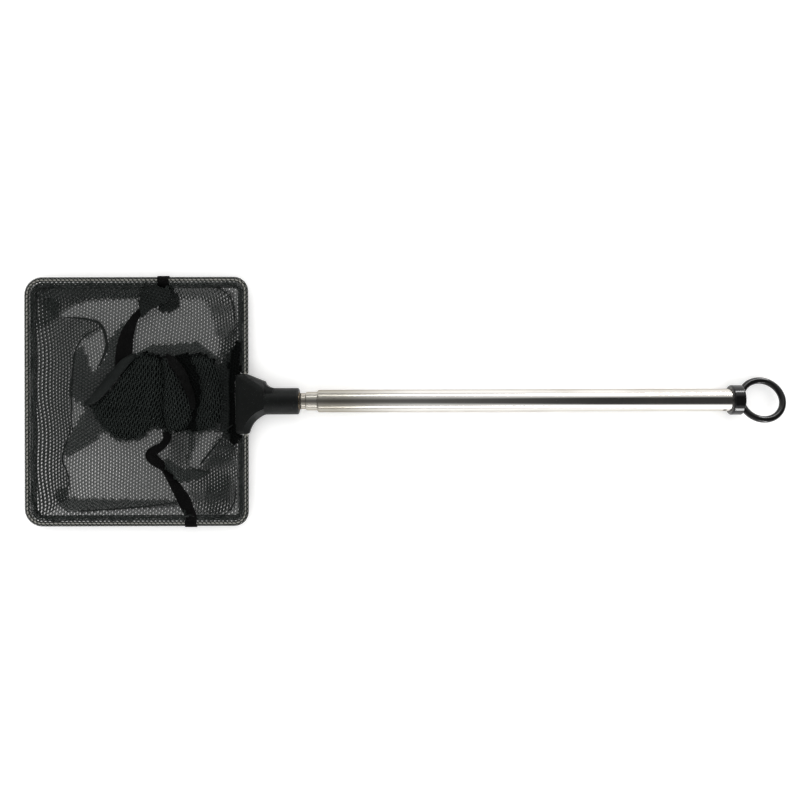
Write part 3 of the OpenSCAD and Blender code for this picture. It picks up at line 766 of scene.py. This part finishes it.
# Toe. The closed end of the bag, heaped in the middle of the hoop: two wings of doubled
# netting on the far side, a fan on the near side, three swollen and pleated folds over them, and
# a strap of netting pressed flat along the heap.
wing_pixels = [
    (73, 366), (75, 352), (80, 346), (85, 350), (87, 361), (92, 370), (99, 365), (105, 357), (107.5, 345),
    (111, 337), (117, 329), (124, 324), (128, 340), (124, 362), (113, 380), (100, 400), (92, 408),
    (80, 402), (72.5, 394)]
low_wing_pixels = [
    (88, 405), (80, 416), (73, 428), (66, 440), (62, 452), (65, 455), (78, 450), (95, 441), (101, 432),
    (110, 432), (104, 418), (96, 408)]
fan_pixels = [
    (160, 425), (189, 428), (186, 440), (184.5, 452), (182, 463), (191, 466), (203, 468), (205, 477),
    (190, 482), (179, 479), (171, 468), (164, 461), (168, 452), (172, 446), (170, 438)]
fan_dense_pixels = [
    (166, 430), (176, 428), (190, 430), (205, 430), (201, 437), (194, 446), (188, 455), (184, 463),
    (178, 462), (172, 455), (169, 446)]
crumple_pixels = [
    (163, 459), (170, 461), (177, 466), (184, 469), (193, 469), (203, 470), (211, 471.5), (203, 475.5),
    (196, 479), (188, 481), (181, 482), (176, 480), (171, 474), (166, 468)]
fan_edge_pixels = [
    (187, 428), (196, 430), (194, 445), (189, 462), (186.5, 466), (184.5, 464), (187, 452), (188.5, 440)]
strap_fold_pixels = [(128, 361), (114, 376), (101, 392), (90, 403)]
heap_pixels = [
    (133, 357), (140, 350), (149, 345), (165, 345), (180, 343), (195, 342), (204, 345), (213, 352),
    (220, 361), (223, 376), (224, 400), (223, 416), (219, 428), (208, 431), (190, 433), (176, 431),
    (166, 432), (158, 428), (150, 430), (144, 437), (133, 440), (117, 440), (111, 435), (99, 421),
    (90, 406), (104, 393), (118, 376), (127, 364)]
heap_cover_pixels = [
    (130, 361), (140, 354), (150, 352), (166, 356), (186, 353), (204, 354), (214, 360), (219, 374),
    (221, 398), (220, 414), (214, 426), (198, 430), (178, 430), (165, 429), (157, 426), (149, 428),
    (142, 434), (131, 437), (119, 437), (101, 420), (94, 407), (108, 393), (120, 378)]
left_fold_pixels = [
    (130, 362), (140, 355), (152, 354), (161, 360), (163, 380), (161, 405), (164, 426), (157, 428),
    (149, 430), (143, 436), (133, 439), (118, 439), (111, 434), (99, 420), (92, 406), (106, 393),
    (119, 377)]
middle_fold_pixels = [
    (162, 357), (170, 358), (178, 369), (185, 382), (190, 396), (191, 410), (187, 424), (180, 431),
    (170, 431), (164, 424), (162, 405), (163, 380)]
right_fold_top_pixels = [
    (190, 356), (203, 355), (214, 360), (220, 374), (223, 398), (222, 414), (216, 427), (204, 430),
    (196, 425), (197, 410), (201, 396), (200, 380), (195, 366)]
strap_line_pixels = [(136, 353), (126, 361), (114, 374), (103, 388), (93, 398), (84, 404)]
strap_pixels = [
    (135, 352), (131, 354), (121, 357), (114, 366), (104, 380), (94, 391), (84, 401), (83, 406), (91, 408),
    (99, 402), (108, 393), (118, 381), (127, 370), (133, 362)]
left_ridge_pixels = [(146, 358), (140, 380), (132, 405), (125, 430)]
left_second_ridge_pixels = [(126, 372), (116, 390), (108, 408)]
left_third_ridge_pixels = [(157, 362), (154, 385), (150, 405), (150, 424)]
middle_ridge_pixels = [(166, 362), (173, 382), (177, 403), (174, 426)]
right_ridge_pixels = [(205, 360), (212, 378), (215, 400), (209, 424)]
ridge_level = 0.006


def ridge(pixels, extra, width):
    """A swelling along pixels of the picture: its line, its height and its width."""
    return smooth_curve(from_pixels(pixels, ridge_level)), extra, width


def toe_ply(pixels, low, high, reach, hole, turn, ridges=(), stretch=(1.0, 1.0), bow=0.0):
    """A folded ply of the toe: its outline in pixels, the heights of its edge and of its top, how
    far inside the edge the top begins, its hole share and its turn."""
    outline = outline_from(pixels, high)
    return ply(within(outline), folded_over(outline, low, high, reach, ridges), hole, turn, stretch, bow)


strap_z = 0.0080
strap_w = 0.0066
strap_fall = 0.003
strap_edge = 0.002
heap_turn = -0.3
toe = piece_from("toe_netting", *joined([
    toe_ply(wing_pixels, 0.0022, 0.0026, 0.004, 0.34, far_turn),
    toe_ply(low_wing_pixels, 0.0022, 0.0026, 0.004, 0.42, far_turn),
    toe_ply(fan_pixels, 0.0024, 0.0030, 0.004, fan_hole, near_turn),
    toe_ply(fan_edge_pixels, 0.0024, 0.0030, 0.002, crowded_hole, near_turn),
    toe_ply(fan_dense_pixels, 0.0028, 0.0036, 0.004, fan_hole, near_turn),
    toe_ply(crumple_pixels, 0.0034, 0.0048, 0.003, heaped_hole, near_turn),
    toe_ply(heap_pixels, 0.0032, 0.0038, 0.004, heaped_hole, near_turn),
    toe_ply(heap_cover_pixels, 0.0040, 0.0046, 0.004, 0.12, heap_turn),
    toe_ply(left_fold_pixels, 0.0048, 0.0072, 0.006, 0.56, -0.16, stretch=(0.70, 2.0), bow=0.0012,
            ridges=[ridge(left_ridge_pixels, 0.0026, 0.005), ridge(left_second_ridge_pixels, 0.0014, 0.004),
                    ridge(left_third_ridge_pixels, 0.0018, 0.0035)]),
    toe_ply(right_fold_top_pixels, 0.0048, 0.0072, 0.0045, 0.56, 0.22, stretch=(0.70, 1.7), bow=0.0012,
            ridges=[ridge(right_ridge_pixels, 0.0026, 0.005)]),
    toe_ply(middle_fold_pixels, 0.0050, 0.0086, 0.0045, 0.54, 0.20, stretch=(0.74, 1.4),
            ridges=[ridge(middle_ridge_pixels, 0.0016, 0.004)])]), netting)
strap_over = folded_over(outline_from(strap_pixels, strap_z), strap_z - strap_fall, strap_z, strap_edge,
                         [ridge(strap_fold_pixels, 0.0010, 0.0016)])
toe_folds = [crease(from_pixels(strap_line_pixels, strap_z), strap_over, strap_w)]

# The netting's pieces. The panels and the toe are cut from one width of netting. Each panel is
# as deep as the bag's wall down to the fold, and the toe is the rest of it with the closed end.
# Each is attached to the net's head in place of its part of the model, which is hidden.
rim_length = by_length(np.concatenate([stitch_line, stitch_line[:1]]))[-1]
far_share = 0.60
panel_drop = 0.052
toe_share = 0.66
toe_drop = 0.042
for cloth_piece, stands_for, size, held in (
        (far_panel, "far_panel", (rim_length * far_share, panel_drop), "gathered"),
        (near_panel, "near_panel", (rim_length * (1 - far_share), panel_drop), "gathered"),
        (toe, "net_toe", (rim_length * toe_share, toe_drop), "folded")):
    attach(cloth_piece, "net_head")
    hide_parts(stands_for)

# Heap shade and pressed folds. The same netting where it lies many times over and can't be seen
# through. Deep in the heap and beside the yoke's plate it is painted shade: near-black netting
# where no light gets in. Rolled or pressed at the edges of the turned-in band, across the
# corners and along the strap, it is darker than the netting's yarn, which paints the shade in
# the folds.
heap_shade = joined([
    toe_ply(heap_cover_pixels, 0.0043, 0.0052, 0.005, closed_hole, heap_turn),
    band(plate_shade_pixels, 3 * fold_lift, closed_hole, near_turn, pressed_t)])
pressed_folds = joined(far_folds + near_folds + toe_folds)
for name, mesh, material in (("heap_shade", heap_shade, shaded), ("pressed_folds", pressed_folds, tight_and_shaded)):
    dense = piece_from(name, *mesh, material)
    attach(dense, "net_head")

# Hem. The top edge of the netting, folded round the wire into a strip of two layers and
# stitched down inside it. Over the wire it is stretched open, and it stops at the yoke's plate.
hem_r = 0.00155
hem_inner = 0.0050
hem_sag = 0.0018
hem_gap = 0.0004
hem_pitch = 0.00255
hem_wrap = math.pi * 0.62
hem_hole_shares = [0.22, 0.26, 0.43, 0.58, 0.36, 0.36, 0.58, 0.43, 0.26, 0.22]
hem_columns = len(hem_hole_shares)
wire_near_corner_r = 0.007
wire_far_corner_r = 0.009
hem_left_y = 0.0167
hem_right_y = -0.0199


def hem_line():
    """The wire's centre line from the yoke's left side round the hoop to its right side."""
    def arc(x, y, radius, start):
        angle = np.radians(np.linspace(start, start + 90, 13))
        return np.stack([x + radius * np.cos(angle), y + radius * np.sin(angle)], 1)
    near_r, far_r = wire_near_corner_r, wire_far_corner_r
    return np.concatenate([
        [(wire_near_x, hem_left_y)],
        arc(wire_near_x - near_r, wire_half_w - near_r, near_r, 0),
        arc(wire_far_x + far_r, wire_half_w - far_r, far_r, 90),
        arc(wire_far_x + far_r, -wire_half_w + far_r, far_r, 180),
        arc(wire_near_x - near_r, -wire_half_w + near_r, near_r, 270),
        [(wire_near_x, hem_right_y)]])


def hem_section():
    """The hem's section as distance out from the wire's centre line and height: from the stitch
    line over the wire, round it, and back to the stitch line under it."""
    angle = np.linspace(hem_wrap, -hem_wrap, 25)
    round_wire = np.stack([hem_r * np.cos(angle), hem_r * np.sin(angle)], 1)
    top = [(-hem_inner, -hem_sag + hem_gap), (-hem_inner * 0.6, -hem_sag * 0.55 + hem_r * 0.4)]
    under = [(-hem_inner * 0.6, -hem_sag * 0.75 - hem_r * 0.3), (-hem_inner, -hem_sag - hem_gap)]
    return np.concatenate([top, round_wire, under])


def heading(line, lengths):
    """The unit direction of a line of points at lengths from its start."""
    after = np.minimum(lengths + slope_step, by_length(line)[-1])
    ahead = at_length(line, after) - at_length(line, np.maximum(lengths - slope_step, 0.0))
    return ahead / np.linalg.norm(ahead, axis=1)[:, None]


hem_path = hem_line()
hem_length = by_length(hem_path)[-1]
hem_profile = hem_section()
hem_width = by_length(hem_profile)[-1]
hem_rows = int(round(hem_length / hem_pitch))


def on_hem(steps):
    """Places and normals on the hem. Lattice steps across its columns run over its section, and
    steps up run round the wire; the section is set out sideways from the wire and upwards."""
    t = (steps[:, 0] + 2) / (3 * hem_columns + 1) * hem_width
    s = (steps[:, 1] + 1) / (2 * hem_rows + 1) * hem_length
    here, ahead, onward = at_length(hem_profile, t), heading(hem_path, s), heading(hem_profile, t)
    out = np.stack([ahead[:, 1], -ahead[:, 0]], 1)
    place = np.concatenate([at_length(hem_path, s) + out * here[:, :1], wire_z + here[:, 1:]], 1)
    return place, np.concatenate([-onward[:, 1:] * out, onward[:, :1]], 1)


hem_cells = grid(np.arange(hem_columns), np.arange(hem_rows))
hem_holes = np.array(hem_hole_shares)[hem_cells[:, 0]]
hem = piece_from("hem", *knit(on_hem, hem_cells, hem_holes, yarn_t), netting)
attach(hem, "net_head")
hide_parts("hem_casing")

# Stitching. One black thread runs round the hoop through both layers of the hem, dipping
# through it at every stitch.
stitch_l = 0.0024
thread_r = 0.00026
thread_wave = 0.00035
thread_inset = 0.0040


def thread_round():
    """A tube of six sides along the stitch line, closed at both ends. Its height goes up and
    down as a cosine, once for every two stitches."""
    steps = int(round(hem_length / stitch_l)) * 4
    s = np.linspace(0.0, hem_length, steps + 1)
    at = at_length(hem_path, s)
    ahead = forward(at)
    out = np.stack([ahead[:, 1], -ahead[:, 0]], 1)
    height = wire_z - hem_sag * 0.5 + thread_wave * np.cos(math.pi * s / stitch_l)
    centre = np.concatenate([at - out * thread_inset, height[:, None]], 1)
    angle = np.arange(6)[:, None] * math.pi / 3
    side = np.concatenate([out, np.zeros((len(out), 1))], 1)
    spoke = side[:, None] * np.cos(angle) + np.array([0.0, 0.0, 1.0]) * np.sin(angle)
    ring = centre[:, None] + thread_r * spoke
    k = np.arange(steps)[:, None] * 6
    j = np.arange(6)
    n = (j + 1) % 6
    quads = np.stack([k + j, k + n, k + 6 + n, k + 6 + j], -1).reshape(-1, 4)
    ends = np.array([[3, 2, 1, 0], [5, 4, 3, 0]])
    last = steps * 6
    caps = np.concatenate([ends, last + ends[:, ::-1]])
    return ring.reshape(-1, 3), np.concatenate([quads, caps])


thread_material = fabric("black thread", (0.010, 0.010, 0.010, 1.0), (0.02, 0.02, 0.02, 1.0), roughness=0.5,
                         specular=0.5, fibres=(9000.0, 0.00003), fade_size=300.0, sheen=0.1)
thread = piece_from("stitching", *thread_round(), thread_material)
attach(thread, "net_head")

# Seam tapes. A black woven tape binds the seam of the bag. Each stretch is sewn over the wire
# with the hem, and then lies along the fold of the bag towards the heap in the middle.
tape_w = 0.0068
tape_t = 0.0005
tape_columns = 9
tape_steep = 0.3
millimetre = 0.001
tape_over_wire_r = 0.00205
tape_wrap_angles = [-75, -50, -25, 0, 25, 50, 75, 100, 120]
left_tape_route = [
    (164, 287.5, 7.9, 11.5, 0), (163, 293, 5.6, 12, 0), (157, 299, 4.4, 12, 0), (148, 305, 4.0, 9, 5),
    (140.5, 311, 3.6, 7.5, 15), (134.5, 318, 3.2, 8.5, 10), (129.5, 328, 3.0, 11.5, -5),
    (126, 340, 3.2, 14.5, -8), (124, 352, 3.8, 16.5, 0), (122, 363, 4.4, 15, 10), (118, 372, 4.4, 9, 10)]
toe_tape_route = [
    (166, 355, 7.6, 6, 0), (173, 362, 9.2, 9.5, -20), (181, 372, 9.7, 10, -30), (187, 385, 9.6, 9, -35),
    (192, 398, 8.8, 7, -30), (193, 409, 7.6, 4, -10)]
right_tape_route = [
    (191, 515.5, 7.9, 11, 0), (188, 509, 4.6, 12, 0), (184, 500, 3.0, 13, 5), (178, 490, 2.7, 11, 20),
    (171, 478, 2.7, 9, 35), (164, 467, 2.8, 8.5, 30), (155, 460, 3.0, 11, 0), (150.5, 454.5, 3.4, 12, -15),
    (155, 449.5, 3.8, 10, -20), (162, 445, 4.2, 8, -20), (167, 438, 4.6, 8, -10), (166, 431, 4.4, 8, 0)]


def over_wire(pixel_x, side):
    """The turn of the tape round the wire, at a pixel across the picture and on one side of the
    hoop: places on a circle round the wire's centre, at the given angles from the outside, with
    the tape's width and no lean."""
    angle = np.radians(tape_wrap_angles)
    x = from_pixels([(pixel_x, middle_pixel)], wire_z)[0, 0]
    y = side * (wire_half_w + tape_over_wire_r * np.cos(angle))
    z = wire_z + tape_over_wire_r * np.sin(angle)
    return np.stack(np.broadcast_arrays(x, y, z, tape_w, 0.0), 1)


def tape_along(route, side):
    """Rows of places across a tape, and their normals. The route gives pixels, heights in
    millimetres, widths in pixels, and the degrees by which the tape leans over as it goes. On a
    side of the hoop it starts round the wire, where it hangs and its width lies along X."""
    rows = np.array(route, float)
    heights = rows[:, 2:3] * millimetre
    flat = from_pixels(rows[:, :2], heights)
    line = smooth_curve(np.concatenate([flat, heights, rows[:, 3:4] * pixel, np.radians(rows[:, 4:])], 1))
    if side:
        line = np.concatenate([over_wire(route[0][0], side), line])
    ahead = forward(line[:, :3])
    aside = np.stack([-ahead[:, 1], ahead[:, 0], np.zeros(len(ahead))], 1)
    level = np.linalg.norm(aside, axis=1)[:, None]
    aside = np.where(level > tape_steep, aside / np.maximum(level, tape_steep), (-side, 0.0, 0.0))
    up = np.cross(ahead, aside)
    lean = line[:, 4:5]
    across = aside * np.cos(lean) + up * np.sin(lean)
    normal = up * np.cos(lean) - aside * np.sin(lean)
    off = np.linspace(-0.5, 0.5, tape_columns)
    middle = line[:, None, :3] + across[:, None] * (off[None, :, None] * line[:, None, 3:4])
    middle[..., 2] = np.maximum(middle[..., 2], table_ply + tape_t)
    return middle, np.broadcast_to(normal[:, None], middle.shape)


tape_material = fabric("black tape", (0.0014, 0.0014, 0.0014, 1.0), (0.0045, 0.0045, 0.0045, 1.0),
                       roughness=0.7, specular=0.05, fibres=(3500.0, 0.0001), fade_size=200.0)
for name, stands_for, route, side in (("left_tape", "left_seam_tape", left_tape_route, 1),
                                      ("toe_tape", "net_toe", toe_tape_route, 0),
                                      ("right_tape", "right_seam_tape", right_tape_route, -1)):
    middle, normal = tape_along(route, side)
    tape = piece_from(name, *thick_band(middle, normal, tape_t), tape_material)
    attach(tape, "net_head")
    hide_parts(stands_for)

# Studio. A pale table under the part, which keeps its soft shadow, two wide soft lamps over its
# long sides, and a white room that shows only in the gloss: a dark ceiling between pale walls,
# with a bright strip along each of them.
table_size = 6.0
table_shown = (1.0, 1.0, 0.995, 1.0)
table_lighting = (0.80, 0.80, 0.79, 1.0)
table_glow = 0.20
lamp_spread = math.radians(50)
lamp_lean = math.radians(38)
lamp_ahead = math.radians(6)
strip_places = (0.86, -0.91)
strip_half_w = 0.035
ambient = 0.86

bpy.ops.mesh.primitive_plane_add(size=table_size, location=(0.0, 0.0, 0.0))
table = bpy.context.object
table.name = "table"
material, tree, shader = material_of(
    "pale table", {"Roughness": 0.9, "Specular IOR Level": 0.0, "Emission Strength": table_glow})
rays = add(tree, "LightPath").outputs
seen = add(tree, "Math", {0: rays["Is Camera Ray"], 1: rays["Is Glossy Ray"]}, operation="MAXIMUM")
seen = add(tree, "Math", {0: seen, 1: rays["Is Transmission Ray"]}, operation="MAXIMUM")
pale = add(tree, "Mix", {"A": table_lighting, "B": table_shown, "Factor": seen}, data_type="RGBA")
lit = add(tree, "Mix", {"A": (0.0, 0.0, 0.0, 1.0), "B": (1.0, 1.0, 1.0, 1.0), "Factor": seen},
          data_type="RGBA")
feed(shader, {"Base Color": pale, "Emission Color": lit})
table.data.materials.append(material)

for side, strength, colour in ((1, 0.55, (1.0, 0.985, 0.96)), (-1, 0.45, (0.985, 0.99, 1.0))):
    lamp = bpy.data.objects.new("soft_lamp", bpy.data.lights.new("soft_lamp", "SUN"))
    lamp.data.energy = strength
    lamp.data.angle = lamp_spread
    lamp.data.color = colour
    lamp.rotation_euler = (-lamp_lean * side, lamp_ahead, 0.0)
    lamp.visible_glossy = False
    bpy.context.scene.collection.objects.link(lamp)


def room():
    """White to the camera. In gloss, pale walls with a dark ceiling along X between them, whose
    contrast grows towards +X, and bright where the direction's Y is within half the strip's width
    of its place. To everything else, plain ambient light."""
    world = bpy.data.worlds.new("room")
    bpy.context.scene.world = world
    world.use_nodes = True
    tree = world.node_tree
    tree.nodes.clear()
    axes = add(tree, "SeparateXYZ", {"Vector": add(tree, "TexCoord").outputs["Generated"]}).outputs
    to_ring = add(tree, "MapRange", {"From Min": -0.12, "From Max": 0.22, "Value": axes["X"]})

    def along(at_net, at_ring):
        """A value that changes along the room, from the net's end to the ring's end."""
        return add(tree, "Mix", {"A": at_net, "B": at_ring, "Factor": to_ring}, data_type="FLOAT")

    def wall(low, high):
        """A soft edge across the room between two values of the direction's Y."""
        return add(tree, "MapRange", {"Value": axes["Y"], "From Min": low, "From Max": high},
                   interpolation_type="SMOOTHSTEP")

    left_wall = wall(along(0.02, 0.36), along(0.90, 0.76))
    right_wall = wall(along(-0.02, -0.58), along(-0.85, -0.80))
    walls = add(tree, "Math", {0: left_wall, 1: right_wall}, operation="MAXIMUM")
    wall_light = add(tree, "Mix", {"A": along(0.16, 0.04), "B": along(0.62, 1.2), "Factor": walls},
                     data_type="FLOAT")
    strips = [add(tree, "Math", {0: axes["Y"], 1: place, 2: strip_half_w}, operation="COMPARE")
              for place in strip_places]
    strips = add(tree, "Math", {0: strips[0], 1: strips[1]}, operation="ADD")
    glow = add(tree, "Math", {0: strips, 1: along(0.8, 14.0), 2: wall_light}, operation="MULTIPLY_ADD")
    rays = add(tree, "LightPath").outputs
    gloss = add(tree, "Mix", {"A": ambient, "B": glow, "Factor": rays["Is Glossy Ray"]}, data_type="FLOAT")
    shown = add(tree, "Math", {0: rays["Is Camera Ray"], 1: rays["Is Transmission Ray"]},
                operation="MAXIMUM")
    level = add(tree, "Mix", {"A": gloss, "B": 1.0, "Factor": shown}, data_type="FLOAT")
    background = add(tree, "Background", {"Color": (1.0, 1.0, 1.0, 1.0), "Strength": level})
    feed(add(tree, "OutputWorld"), {"Surface": background})


room()
bpy.context.scene.view_settings.view_transform = "Standard"
